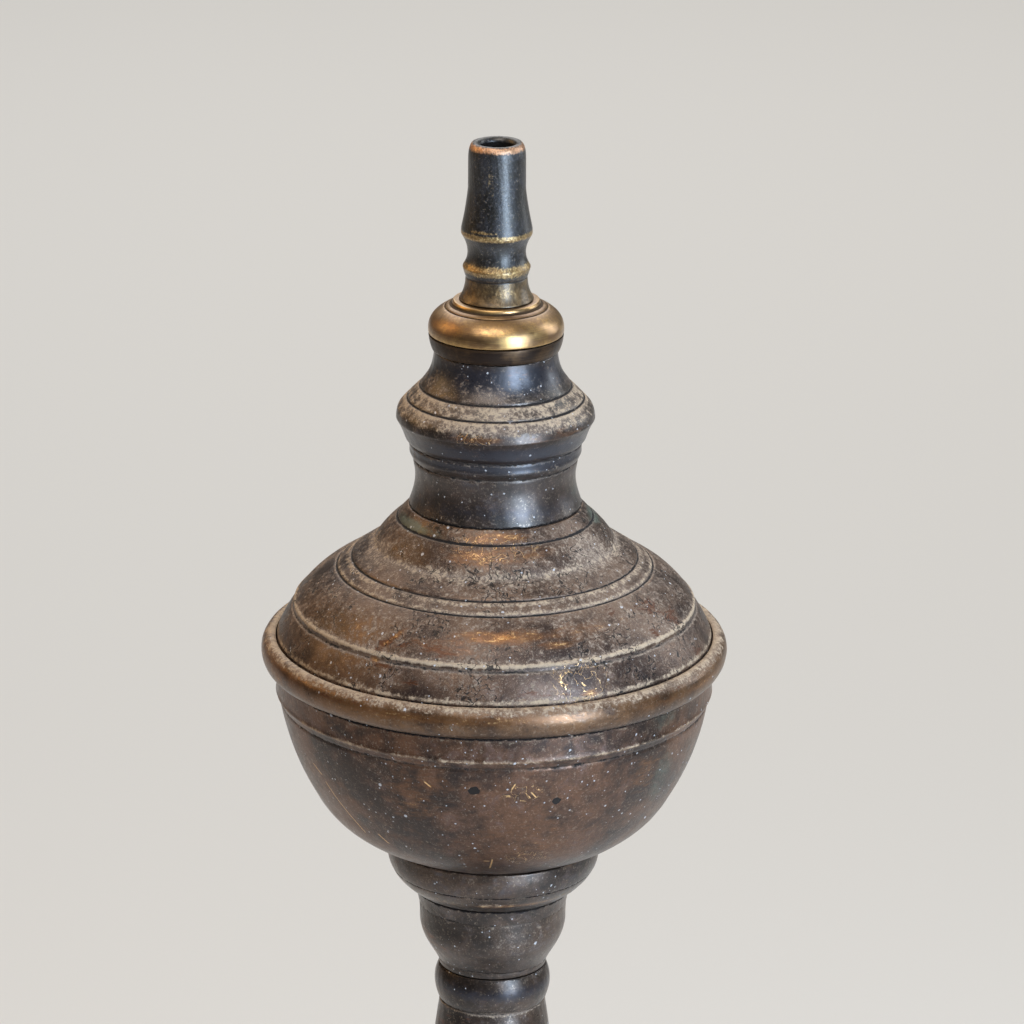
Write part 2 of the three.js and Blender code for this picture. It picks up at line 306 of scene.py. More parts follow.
def close_poles(mesh):
    """Merges the points of the first and last rows, which lie on the axis."""
    work = bmesh.new()
    work.from_mesh(mesh)
    on_axis = [v for v in work.verts if v.co.xy.length < 1e-6]
    bmesh.ops.remove_doubles(work, verts=on_axis, dist=1e-6)
    work.to_mesh(mesh)
    work.free()


def place(mesh, node, body, look):
    """Puts a piece in the scene, riding on its body in place of its CAD node."""
    piece = bpy.data.objects.new(mesh.name, mesh)
    bpy.context.scene.collection.objects.link(piece)
    mesh.materials.append(look)
    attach(piece, body)
    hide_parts(node)
    return piece


# ---------------------------------------------------------------- materials

def rgb(*channels):
    """Linear colour from everyday red, green and blue, 0 to 255."""
    shares = [channel / 255 for channel in channels]
    return (*[v / 12.92 if v < 0.0405 else ((v + 0.055) / 1.055) ** 2.4 for v in shares], 1.0)


class Field:
    """A value that varies over a material. Adding, subtracting and multiplying build its nodes."""

    def __init__(self, look, socket):
        self.look = look
        self.socket = socket

    def output(self, which):
        """Another output of the same node."""
        return Field(self.look, self.socket.node.outputs[which])

    def __add__(self, other):
        return self.look.math("ADD", self, other)

    def __sub__(self, other):
        return self.look.math("SUBTRACT", self, other)

    def __mul__(self, other):
        return self.look.math("MULTIPLY", self, other)

    __radd__ = __add__
    __rmul__ = __mul__


class Look:
    """A node material under construction. Lengths are in mm."""

    def __init__(self, name):
        self.material = bpy.data.materials.new(name)
        self.material.use_nodes = True
        self.tree = self.material.node_tree
        self.shader = self.tree.nodes["Principled BSDF"]
        metres = self.node("ShaderNodeTexCoord", {}, "Object")
        self.place = self.node("ShaderNodeVectorMath", {0: metres, 3: 1 / MM}, operation="SCALE")
        self.shift = 0.0

    def plug(self, node, inputs):
        """Links fields to a node's inputs, and sets the others to their constants."""
        for name, value in inputs.items():
            if isinstance(value, Field):
                self.tree.links.new(value.socket, node.inputs[name])
            else:
                node.inputs[name].default_value = value

    def node(self, kind, inputs, output=0, **settings):
        made = self.tree.nodes.new(kind)
        for key, value in settings.items():
            setattr(made, key, value)
        self.plug(made, inputs)
        return Field(self, made.outputs[output])

    def math(self, operation, a, b=0.0, clamp=False):
        return self.node("ShaderNodeMath", {0: a, 1: b}, operation=operation, use_clamp=clamp)

    def noise(self, size, detail=4.0, rough=0.6, stretch=(1, 1, 1), wave=0.0):
        """Noise around zero, from -0.5 to 0.5, with features about size mm across."""
        self.shift += 37.0
        moved = self.node("ShaderNodeMapping", {"Vector": self.place, "Location": (self.shift, 11.0, 5.0),
                                                "Scale": stretch})
        inputs = {"Vector": moved, "Scale": 1 / size, "Detail": detail, "Roughness": rough,
                  "Distortion": wave}
        return self.node("ShaderNodeTexNoise", inputs) - 0.5

    def radius(self):
        """Distance from the lamp's axis."""
        flat = self.node("ShaderNodeVectorMath", {0: self.place, 1: (1, 1, 0)}, operation="MULTIPLY")
        return self.node("ShaderNodeVectorMath", {0: flat}, "Value", operation="LENGTH")

    def turning_marks(self, size):
        """Fine lines left by the lathe: noise that is the same all round the axis."""
        height = self.node("ShaderNodeSeparateXYZ", {0: self.place}, "Z")
        where = self.node("ShaderNodeCombineXYZ", {0: self.radius(), 1: height, 2: 0.0})
        inputs = {"Vector": where, "Scale": 1 / size, "Detail": 3.0, "Roughness": 0.7}
        return self.node("ShaderNodeTexNoise", inputs) - 0.5

    def painted(self, name):
        return self.node("ShaderNodeAttribute", {}, "Fac", attribute_name=name)

    def step(self, value, low, high):
        """0 below low and 1 above high, smooth between; turned round when low is above high."""
        inputs = {0: value, 1: low, 2: high}
        return self.node("ShaderNodeMapRange", inputs, interpolation_type="SMOOTHSTEP")

    def mix(self, share, first, second):
        """A colour, from first at share 0 to second at share 1."""
        return self.node("ShaderNodeMix", {0: share, 6: first, 7: second}, 2, data_type="RGBA")

    def blend(self, share, first, second):
        """A number, from first at share 0 to second at share 1."""
        return self.node("ShaderNodeMix", {0: share, 2: first, 3: second}, data_type="FLOAT")

    def specks(self, spacing, radius, share):
        """Small uneven spots, on a share of the cells of a spacing."""
        bend = self.noise(radius, 2) * (radius * 1.6)
        bent = self.node("ShaderNodeVectorMath", {0: self.place, 1: bend}, operation="ADD")
        moved = self.node("ShaderNodeMapping", {"Vector": bent, "Location": (self.shift, 3.0, 9.0)})
        away = self.node("ShaderNodeTexVoronoi", {"Vector": moved, "Scale": 1 / spacing}, "Distance")
        chance = self.node("ShaderNodeSeparateColor", {0: away.output("Color")})
        inside = self.math("LESS_THAN", away, chance.output(1) * (radius / spacing))
        return inside * self.math("LESS_THAN", chance, share)

    def scratch(self, at, height, length, tilt, width=0.25):
        """One thin straight scratch; tilt is in degrees from level."""
        x = self.node("ShaderNodeSeparateXYZ", {0: self.place}, "X")
        angle = self.math("ARCTAN2", x, x.output("Y") * -1.0)
        u = (angle - math.radians(at)) * self.radius()
        v = x.output("Z") - height
        c, s = math.cos(math.radians(tilt)), math.sin(math.radians(tilt))
        ahead = self.math("ABSOLUTE", u * c + v * s)
        aside = self.math("ABSOLUTE", v * c - u * s)
        ends = self.step(ahead, length / 2, length / 2 - 1)
        return ends * self.step(aside, width, width * 0.3)

    def coat(self, weight, roughness):
        """An untinted gloss over the metal, from wax and handling."""
        self.plug(self.shader, {"Coat Weight": weight, "Coat Roughness": roughness, "Coat IOR": 1.75})

    def finish(self, color, metallic, roughness, height):
        """height is the relief in mm."""
        bump = self.node("ShaderNodeBump", {"Strength": 1.0, "Distance": MM, "Height": height}, "Normal")
        self.plug(self.shader, {"Base Color": color, "Metallic": metallic, "Roughness": roughness,
                                "Normal": bump})
        return self.material


COPPER = rgb(160, 114, 68)
PALE_COPPER = rgb(232, 192, 138)
RUBBED_AND_LIT_BROWN = rgb(124, 84, 52)
RUST = rgb(86, 48, 26)
DUST_DARK = rgb(92, 79, 74)
DUST_LIGHT = rgb(172, 155, 138)
LINE_DUST = rgb(186, 166, 140)
VERDIGRIS = rgb(84, 104, 94)
GRIME = rgb(18, 14, 15)
SHADE = rgb(22, 20, 24)
BLUED = rgb(34, 38, 52)
OIL = rgb(34, 24, 16)
SOOT_BLACK = rgb(6, 6, 7)
SOOT_BLUE = rgb(32, 35, 44)
WHITE_SPECK = rgb(206, 208, 214)


class Grain:
    """The noises that a patina is made of, and their mixtures."""

    def __init__(self, look):
        self.cloud, self.blotch = look.noise(34, 4), look.noise(9, 5, 0.65, wave=0.6)
        self.mottle, self.fine = look.noise(2.4, 5, 0.7), look.noise(1.0, 4, 0.75)
        self.tiny = look.noise(0.5, 3, 0.6)
        self.marks = look.turning_marks(0.7)
        self.streak = look.noise(2.2, 4, 0.65, stretch=(0.35, 0.35, 1.6))
        self.fuzz = self.blotch * 0.9 + self.mottle * 0.7
        self.ragged = self.blotch * 0.8 + self.mottle * 0.9 + self.streak * 1.5
        self.gritty = self.fine + self.mottle * 0.7 + self.tiny * 0.5
        self.broken = self.mottle * 1.5 + self.fine * 0.9 + self.blotch


def clouded_brown(look, n, dark, brown, sheen, shade, blued):
    """The patina's own colour, before anything rubs it or settles on it, with painted shade on the faces that
    look down.
    """
    color = look.mix(look.step(n.cloud + n.blotch * 0.6, -0.16, 0.16), dark, brown)
    shiny = look.step(n.blotch + n.mottle * 0.5, 0.0, 0.3)
    color = look.mix(shiny * 0.6, color, sheen)
    color = look.mix(look.step(n.mottle + n.marks, 0.05, 0.45) * 0.35, color, dark)
    color = look.mix(look.step(n.gritty, 0.03, 0.24) * 0.62, color, GRIME)
    color = look.mix(look.step(n.gritty, -0.05, -0.26) * 0.42, color, DUST_LIGHT)
    # Painted shade: faces that look down darken towards SHADE.
    color = look.mix(look.painted("under") * shade, color, SHADE)
    return look.mix(blued * 0.85, color, BLUED)


def hairlines(look, scratches, seat):
    """Thin bright scratches: curly ones where they are painted, and straight ones one by one."""
    curl = look.math("ABSOLUTE", look.noise(5.5, 2, 0.5, wave=1.4))
    hair = look.step(curl, 0.011, 0.004) * look.step(look.painted("hairline"), 0.25, 0.6)
    for at, height, *rest in scratches:
        hair = look.math("MAXIMUM", hair, look.scratch(at, seat + height, *rest))
    return hair


def settled_dust(look, n, dust, outside):
    """Dust on ledges, in hollows and in patches, and the dust caught along the lines."""
    ledge = look.step(look.painted("up"), 0.12, 0.75)
    settled = (ledge * (0.42 * dust) + look.painted("hollow") * (0.5 * dust)
               + look.painted("line_dust") * 0.6 + look.painted("pale") + n.cloud * 0.6)
    patchy = n.blotch * 0.8 + n.mottle * 1.3 + n.fine * 1.5
    dusty = look.step(settled + patchy, 0.24, 0.92) * outside * 0.88
    lined = look.step(look.painted("line_dust") + n.broken, 0.25, 0.75)
    return dusty, lined * outside * 0.85


def wrinkled(look, n, amount):
    """Thin dark folds in the patina, in patches."""
    curl = look.math("ABSOLUTE", look.noise(4.2, 2, 0.5, wave=1.1))
    where = look.step(n.blotch + look.noise(16, 2), 0.02, 0.12)
    return look.step(curl, 0.034, 0.012) * where * amount


def patina(name, dark, brown, sheen, worn=COPPER, dust=1.0, gloss=0.36, wear=0.5, specks=0.3,
           wrinkles=0.0, shade=0.5, waxed=0.2, scratches=(), seat=0.0):
    """Aged bronze: clouded brown, painted shade on the faces that look down, worn edges, rubbed spots that in
    places are painted highlight and painted warm light, dust on ledges, grime in the lines with painted
    shadow under the rim bead and the bowl's step.
    A scratch is (angle, height from the seat, length, tilt, width), in degrees and mm."""
    look = Look(name)
    n = Grain(look)
    inside = look.painted("inside")
    outside = look.step(inside, 1.0, 0.0)
    blued = look.step(look.painted("blued") + n.fuzz * 0.7, 0.15, 0.8)
    edge = look.step(look.painted("edge") * wear + n.fuzz * 0.8, 0.28, 0.6)
    # Rubs: worn copper, and in places painted light, a highlight on the shoulder's front and warm side light
    # on the bead's left.
    rub_and_light = look.painted("rub_and_painted_light") * 0.8
    rubbed_and_lit = look.step(rub_and_light + n.ragged * 0.7, 0.05, 0.7)
    bared_and_lit = look.step(rub_and_light + n.ragged + n.fine * 1.2, 0.55, 1.1)
    stain = look.step(look.painted("stain") * 0.8 + n.ragged, 0.42, 0.75)
    hair = hairlines(look, scratches, seat)
    green = look.step(look.painted("verdigris") + n.fuzz * 0.9, 0.3, 0.75)
    pit = look.step(look.painted("pit") + n.mottle * 0.7, 0.42, 0.5)
    dusty, lined = settled_dust(look, n, dust, outside)
    # Grime along the lines, which under the rim bead and the bowl's step is painted shadow as well.
    grime_and_shadow = look.step(look.painted("line_grime_and_shadow") + n.broken, 0.3, 0.75)
    white = look.math("MAXIMUM", look.specks(2.3, 0.4, specks), look.specks(5.0, 0.7, specks * 0.7))
    fold = wrinkled(look, n, wrinkles) if wrinkles else 0.0

    color = clouded_brown(look, n, dark, brown, sheen, shade, blued)
    color = look.mix(rubbed_and_lit * 0.7, color, RUBBED_AND_LIT_BROWN)
    color = look.mix(stain * 0.8, color, RUST)
    color = look.mix(edge * 0.5, color, worn)
    dust_color = look.mix(look.step(n.gritty, -0.2, 0.22), DUST_DARK, DUST_LIGHT)
    cover = dusty * look.step(stain, 1.0, 0.3) * look.step(rubbed_and_lit, 1.4, 0.2)
    color = look.mix(cover, color, dust_color)
    line_color = look.mix(look.step(n.gritty, -0.3, 0.2), DUST_LIGHT, LINE_DUST)
    color = look.mix(lined * 0.85, color, line_color)
    color = look.mix(fold, color, GRIME)
    color = look.mix(green * 0.6, color, VERDIGRIS)
    # Bare copper; on the shoulder's front it is also a painted highlight.
    bright = look.mix(look.step(n.fine + n.streak, 0.0, 0.25), COPPER, PALE_COPPER)
    color = look.mix(bared_and_lit * 0.85, color, bright)
    color = look.mix(hair, color, PALE_COPPER)
    color = look.mix(look.math("MAXIMUM", grime_and_shadow, pit), color, GRIME)
    color = look.mix(white * 0.66, color, WHITE_SPECK)
    color = look.mix(inside * 0.75, color, OIL)

    bare = look.math("MAXIMUM", bared_and_lit * 0.8, hair)
    dull = look.math("MAXIMUM", dusty, lined)
    metal = look.blend(look.math("ADD", dull, white * 0.9, clamp=True), 0.6, 0.0)
    metal = look.blend(green * 0.6, metal, 0.1)
    metal = look.blend(bare, metal, 1.0)
    roughness = gloss + n.blotch * 0.28 + n.mottle * 0.22 + blued * -0.06
    roughness = look.blend(dull, roughness, 0.86)
    roughness = look.blend(bare, roughness, 0.36)
    roughness = look.blend(grime_and_shadow, roughness, 0.8)
    coat = look.step(dull, 0.7, 0.0) * look.step(grime_and_shadow, 1.0, 0.0) * waxed
    look.coat(coat, gloss + n.mottle * 0.3)
    height = (n.cloud * 0.12 + n.blotch * 0.1 + n.mottle * 0.07 + n.fine * 0.06 + n.tiny * 0.026
              + n.marks * 0.009 + dull * 0.05 + stain * -0.06 + bare * -0.04 + white * 0.12
              + pit * -0.4 + fold * -0.1)
    return look.finish(color, metal, roughness, height)


def golden(name, bright, dull, stained, waxed=0.6):
    """Handled brass: satin gold with brown tarnish, grime in the lines and fine scratches."""
    look = Look(name)
    cloud, blotch = look.noise(16, 4), look.noise(5, 5, 0.65, wave=0.5)
    mottle, grain = look.noise(1.5, 4, 0.7), look.noise(0.35, 3)
    marks = look.turning_marks(0.45)
    fine = look.noise(0.5, 2, 0.5, stretch=(1, 1, 0.08))
    shine = cloud + blotch * 0.5 + marks * 0.5
    color = look.mix(look.step(shine, -0.12, 0.2), dull, bright)
    browned = look.painted("up") * 0.5 + look.painted("stain") + cloud + mottle * 0.9
    tarnish = look.step(browned, 0.15, 0.65)
    color = look.mix(tarnish * 0.7, color, stained)
    edge = look.step(look.painted("edge") * 0.5 + mottle * 0.7, 0.2, 0.6)
    color = look.mix(edge * 0.6, color, bright)
    hollow = look.step(look.painted("hollow") * 0.8 + look.painted("line_grime_and_shadow") + mottle * 0.5, 0.4, 0.9)
    color = look.mix(hollow * 0.85, color, GRIME)
    settled = look.painted("up") * 0.3 + look.painted("line_dust") + mottle + grain
    dusty = look.step(settled, 0.35, 0.9)
    color = look.mix(dusty * 0.45, color, DUST_LIGHT)
    inside = look.painted("inside")
    color = look.mix(inside * 0.6, color, OIL)
    metal = look.blend(dusty * 0.5 + hollow * 0.5, 1.0, 0.0)
    roughness = 0.34 + blotch * 0.2 + mottle * 0.2 + tarnish * 0.12 + hollow * 0.3
    look.coat(look.step(hollow, 0.6, 0.0) * waxed, 0.36 + mottle * 0.3)
    height = cloud * 0.05 + blotch * 0.06 + mottle * 0.035 + grain * 0.012 + marks * 0.02 + fine * 0.01
    return look.finish(color, metal, roughness, height)


def sooted(name):
    """Blue-black soot baked on bronze: pitted, with bare metal on the sharp edges and the lip."""
    look = Look(name)
    cloud, blotch = look.noise(9, 4), look.noise(2.6, 5, 0.7, wave=0.4)
    mottle, grain = look.noise(0.9, 4, 0.7), look.noise(0.3, 3)
    marks = look.turning_marks(0.5)
    color = look.mix(look.step(cloud + blotch + mottle, -0.14, 0.16), SOOT_BLACK, SOOT_BLUE)
    ashen = look.step(blotch + mottle, 0.08, 0.28)
    color = look.mix(ashen * 0.45, color, rgb(96, 92, 92))
    flecks = look.step(mottle + grain * 0.8, 0.15, 0.24)
    color = look.mix(flecks * 0.7, color, rgb(150, 132, 100))
    stained = look.painted("stain") + blotch * 0.5 + mottle * 0.5
    olive = look.step(stained, 0.2, 0.75)
    olive_color = look.mix(look.step(blotch, -0.2, 0.25), rgb(72, 56, 34), rgb(146, 118, 76))
    color = look.mix(olive * 0.8, color, olive_color)
    rubbed_and_lit = look.painted("rub_and_painted_light") + blotch * 0.9 + mottle * 0.7
    brass = look.step(rubbed_and_lit, 0.35, 0.8)
    brass_color = look.mix(look.step(mottle, -0.1, 0.3), rgb(152, 122, 76), rgb(234, 206, 148))
    color = look.mix(brass * 0.9, color, brass_color)
    copper = look.step(look.painted("hairline") + mottle * 0.9, 0.35, 0.75)
    color = look.mix(copper, color, rgb(212, 164, 128))
    color = look.mix(look.step(look.painted("line_grime_and_shadow"), 0.3, 0.7), color, GRIME)
    inside = look.painted("inside")
    color = look.mix(inside * 0.9, color, rgb(10, 8, 8))
    bare = look.math("MAXIMUM", brass, look.math("MAXIMUM", copper, olive * 0.7))
    metal = look.blend(bare, 0.45, 1.0)
    roughness = 0.4 + blotch * 0.25 + mottle * 0.25 + inside * 0.3
    look.coat(look.step(inside, 1.0, 0.0) * 0.6, 0.37 + mottle * 0.5)
    pits = look.step(look.noise(1.1, 2, 0.5), -0.06, -0.16)
    height = blotch * 0.16 + mottle * 0.18 + grain * 0.06 + marks * 0.014 + pits * -0.13
    return look.finish(color, metal, roughness, height)


def oiled_leather():
    look = Look("oiled_leather")
    fibre, grain = look.noise(2.0, 5, 0.7), look.noise(0.4, 3)
    color = look.mix(look.step(fibre + grain, -0.3, 0.3), rgb(46, 30, 18), rgb(104, 72, 44))
    height = fibre * 0.1 + grain * 0.05
    return look.finish(color, 0.0, 0.62 + fibre * 0.3, height)


def oiled_cotton():
    look = Look("oiled_cotton")
    fibre = look.noise(0.25, 4, 0.7, stretch=(1, 1, 0.16))
    soak = look.noise(12, 3)
    color = look.mix(look.step(soak, -0.2, 0.2), rgb(150, 128, 92), rgb(196, 178, 142))
    color = look.mix(look.step(fibre, -0.05, -0.35) * 0.7, color, rgb(88, 70, 46))
    burnt = look.step(look.painted("stain") + fibre * 0.5, 0.2, 0.6)
    color = look.mix(burnt, color, rgb(14, 12, 11))
    return look.finish(color, 0.0, 0.82, fibre * 0.16)


STEM = patina("stem_bronze", rgb(40, 32, 29), rgb(84, 66, 54), rgb(92, 92, 102), dust=0.8, gloss=0.34,
              specks=0.35, wear=0.3, shade=0.6, waxed=0.3)
BOWL = patina("bowl_bronze", rgb(50, 37, 32), rgb(108, 74, 52), rgb(106, 90, 90), dust=0.75, gloss=0.36,
              specks=0.6, wear=0.35, waxed=0.14, seat=seat_of("reservoir_bowl"), scratches=[
                  (-51, 32.0, 24, -58), (-17.5, 54.1, 4, -40, 0.4), (-38, 22.2, 6, -50), (-72, 33.2, 9, -50),
                  (-0.5, 15.7, 7, 80, 0.4), (-2, 17.7, 3, 0), (-58, 46.2, 7, -35), (5.5, 54.7, 3.5, 62, 0.35),
                  (11, 50.7, 4, -50, 0.35)])
DOME = patina("shoulder_bronze", rgb(60, 46, 42), rgb(104, 80, 64), rgb(104, 92, 92), dust=1.0, gloss=0.38,
              specks=0.4, wear=0.4, wrinkles=0.9, waxed=0.15)
BEAD = patina("bead_bronze", rgb(72, 50, 34), rgb(116, 82, 50), rgb(112, 98, 88), dust=0.9, gloss=0.33,
              wear=0.5, specks=0.2)
NECK = patina("neck_bronze", rgb(30, 25, 24), rgb(68, 54, 48), rgb(76, 78, 92), worn=rgb(112, 104, 104),
              dust=0.9, gloss=0.38, wear=0.25, specks=0.45, shade=0.7, waxed=0.5)
CAP = golden("cap_brass", rgb(210, 170, 100), rgb(156, 116, 66), rgb(104, 72, 44), waxed=0.9)
BAND = golden("band_brass", rgb(90, 70, 50), rgb(46, 36, 31), rgb(34, 27, 25), waxed=0.15)
FITTING = golden("fitting_brass", rgb(190, 152, 82), rgb(136, 100, 52), rgb(76, 54, 34))
SOOT = sooted("sooted_bronze_look")
LEATHER = oiled_leather()
COTTON = oiled_cotton()


# ---------------------------------------------------------------- stem and foot

CORE = 9.0
SPIGOT = 14.0
SPIGOT_LENGTH = 7.7
SOCKET = 14.3
SOCKET_DEPTH = 8.0


def swell(radius, amount, low, high):
    """A round bead on a wall of the given radius."""
    return (radius + 2 * amount, (low + high) / 2, radius, high)


def joined(height, start):
    """Closes a stem section with its spigot, core and socket."""
    return [(SPIGOT, height), (SPIGOT, height + SPIGOT_LENGTH), (CORE, height + SPIGOT_LENGTH),
            (CORE, SOCKET_DEPTH), (SOCKET, SOCKET_DEPTH), (SOCKET, 0), start]


def stem_piece(node, height, start, moves, **more):
    """A stem section of a height; moves trace its outside from start, at its seat, to its top."""
    turned(node, "stand", "patinated_bronze", STEM, [start, *moves], joined(height, start), **more)


turned("foot_base", "stand", "patinated_bronze", STEM,
       [(108, 0), (115, 0), (115, 5), (110, 8), (100, 9, 98, 16), swell(98, 2, 16, 21),
        (82, 25, 62, 28, 53, 45), (50, 46), swell(50, 1.8, 46, 51), (47, 57, 41, 64)],
       [(12.4, 64), (12.4, 58), (34, 58), (44, 48), (55, 28, 76, 21, 94, 16), (98, 8), (108, 0)],
       segments=344,
       lines=[Line(115, 2.5, depth=0.4, width=0.5, grime_and_shadow=0.5),
              Line(90, 22.9, depth=0.5, width=0.5, dust=0.4, grime_and_shadow=0.5),
              Line(86, 24, depth=0.5, width=0.5, dust=0.4, grime_and_shadow=0.5)],
       spots=[("rub_and_painted_light", 8, 21, 26, 2.5, 0.8), ("rub_and_painted_light", -150, 20, 30, 2.5, 0.7), ("rub_and_painted_light", 95, 4, 22, 2, 0.6),
              ("stain", -40, 30, 14, 7, 0.7), ("stain", 150, 28, 18, 8, 0.6)])
stem_foot_inner = [(SPIGOT, 85.7), (SPIGOT, 93.4), (CORE, 93.4), (CORE, -24), (12, -24), (12, 0), (38, 0)]
turned("stem_foot", "stand", "patinated_bronze", STEM,
       [(38, 0), swell(38, 2, 0, 9), (35.5, 11), (24, 18, 20, 36, 19.5, 62), (21.5, 66),
        swell(21.5, 2.2, 66, 77), (19.6, 80), (21.5, 85.7)],
       stem_foot_inner, below=24, segments=280, thread=Thread(-23, -2, 12, 0.3),
       lines=[Line(35.5, 11, grime_and_shadow=0.5, dust=0.5), Line(19.6, 80, grime_and_shadow=0.5)],
       spots=[("rub_and_painted_light", 12, 7.7, 12, 2, 0.7), ("rub_and_painted_light", -100, 0, 20, 2, 0.7)])


def knop(node, height, bulb, neck):
    moves = [swell(neck, 1.8, 0, 8), (neck - 1.5, 10),
             (bulb + 2, height * 0.2, bulb + 3, height * 0.62, neck - 2, height - 12),
             (neck - 1, height - 10), swell(neck - 1, 1.6, height - 10, height - 2), (neck - 2, height)]
    middle = height * 0.4
    belly = neck + (bulb - neck) * 0.78
    stem_piece(node, height, (neck, 0), moves,
               lines=[Line(belly, middle - 1.6, depth=0.35, width=0.35, grime_and_shadow=0.5),
                      Line(belly, middle + 1.6, depth=0.35, width=0.35, grime_and_shadow=0.5, dust=0.4),
                      Line(neck - 1.5, 10, grime_and_shadow=0.4, dust=0.5)],
               spots=[("rub_and_painted_light", 20, middle + 4, 14, 3, 0.7), ("stain", -60, middle, 9, 5, 0.6)])


knop("lower_knop", 61.7, 40, 23.5)
stem_piece("lower_shaft", 85.7, (19.5, 0),
           [swell(19.5, 1.5, 0, 8), (18.2, 10), (15.6, 42.85, 18.2, 75.7), (19.5, 77.7),
            swell(19.5, 1.5, 77.7, 85.7)],
           lines=[Line(18.2, 10, grime_and_shadow=0.5, dust=0.5), Line(17, 40, depth=0.2, width=0.4, grime_and_shadow=0.4)])
knop("middle_knop", 47.7, 33, 20.5)
stem_piece("upper_shaft", 119.4, (18.5, 0),
           [swell(18.5, 1.6, 0, 8), (17, 11), (19, 36, 28, 62, 21, 102.4), (20.9, 104.7),
            (22.4, 107.9, 24.2, 113.9, 20.9, 119.4)],
           lines=[Line(17, 11, grime_and_shadow=0.5, dust=0.5), Line(20.9, 104.7, depth=0.3, width=0.4, grime_and_shadow=0.5),
                  Line(21.2, 104.2, dust=0.3, spread=0.5), Line(22.6, 113, blued=0.6, reach=2.5),
                  Line(20.9, 119.0, grime_and_shadow=0.5, dark=0.6)],
           spots=[("stain", -60, 93.7, 12, 10, 0.6), ("pale", 12, 105.7, 8, 4, 0.25)])
stem_piece("lower_cup", 32.3, (21, 0),
           [(21.8, 6, 28.6, 10.5, 28.7, 19.5), (28.7, 24, 29, 28.5, 30.6, 32.3)],
           lines=[Line(21.2, 2.6, depth=0.25, width=0.4, grime_and_shadow=0.5),
                  Line(28.9, 26, depth=0.12, width=0.5, grime_and_shadow=0.45, dust=0.2, up=-1),
                  Line(30.5, 32.1, grime_and_shadow=0.8, dark=0.8)],
           spots=[("stain", -62, 15, 8, 8, 0.6), ("rub_and_painted_light", -70, 12, 10, 9, 0.35),
                  ("pale", 18, 18, 9, 6, 0.3)])
stem_piece("bowl_collar", 19.4, (30.9, 0),
           [(37, 3.5, 41.6, 9, 41.6, 16), (41.4, 19.4), (38.5, 19.4)],
           segments=320,
           lines=[Line(40.0, 9.0, depth=0.15, width=0.3, grime_and_shadow=0.7, dark=0.3),
                  Line(31.2, 0.3, grime_and_shadow=0.7, dark=0.7), Line(41, 12, blued=0.3, reach=3.0),
                  Line(37.4, 5.4, dust=0.4, spread=1.0)],
           spots=[("rub_and_painted_light", 16, 5, 16, 1.0, 0.75), ("rub_and_painted_light", -30, 4.4, 16, 1.0, 0.4),
                  ("stain", -70, 16.4, 10, 4, 0.6)])

# ---------------------------------------------------------------- reservoir

turned("reservoir_bowl", "stand", "patinated_bronze", BOWL,
       [(14.3, 0), (38.2, 0), (38.2, 2.7), (42.5, 3.6), (54, 8.2, 64, 14.4, 70.2, 26.4),
        (75.4, 35, 80.6, 47, 83.2, 62), (84.4, 65.4), (85, 75.5)],
       [(82.1, 75.5), (81.6, 63), (78, 47, 73, 37, 67.6, 27.6), (62, 17.4, 54, 11.4, 43, 6.6), (19, 4.5),
        (19, 13), (0.4, 13), (0.4, 8), (14.3, 8), (14.3, 0)],
       segments=390,
       # The grime under the step ridge is partly a painted shadow beneath the ridge.
       lines=[Line(83.2, 62, depth=0.3, width=0.5, grime_and_shadow=0.5, dark=0.7),
              Line(84.4, 65.4, depth=-0.3, width=0.6, dust=0.42, spread=0.6),
              Line(43, 3.9, dust=0.5, spread=2), Line(84.95, 73.6, dust=0.35, spread=0.6),
              # Painted shadow under the rim bead, along the bowl's top edge, over the grime in the joint.
              Line(85, 75.3, grime_and_shadow=1.1, dark=0.8)],
       spots=[("rub_and_painted_light", -17, 55.2, 8, 7, 0.32), ("stain", -20, 54.2, 12, 9, 0.5),
              ("stain", -12, 29.2, 15, 9, 0.42), ("stain", 25, 32.2, 14, 8, 0.42),
              ("hairline", 8, 52.2, 6.5, 3.2, 0.9), ("hairline", 12, 19.2, 10, 6, 0.5),
              ("verdigris", 50, 72.2, 9, 5, 0.5), ("verdigris", 54, 46.2, 7, 14, 0.5),
              ("rub_and_painted_light", 46, 52.2, 6, 9, 0.42), ("pale", -32, 56.2, 9, 4, 0.3),
              ("verdigris", -150, 44.2, 16, 12, 0.5), ("stain", 140, 36.2, 22, 12, 0.6),
              ("pit", -5, 53, 1.9, 1.6, 1.0), ("pit", 17.5, 46.8, 1.5, 1.4, 1.0),
              ("rub_and_painted_light", -23, 47.2, 9, 13, 0.36), ("rub_and_painted_light", 12, 29.2, 16, 10, 0.26),
              ("hairline", 170, 44.2, 12, 9, 0.8), ("hairline", -110, 54.2, 10, 7, 0.6)])

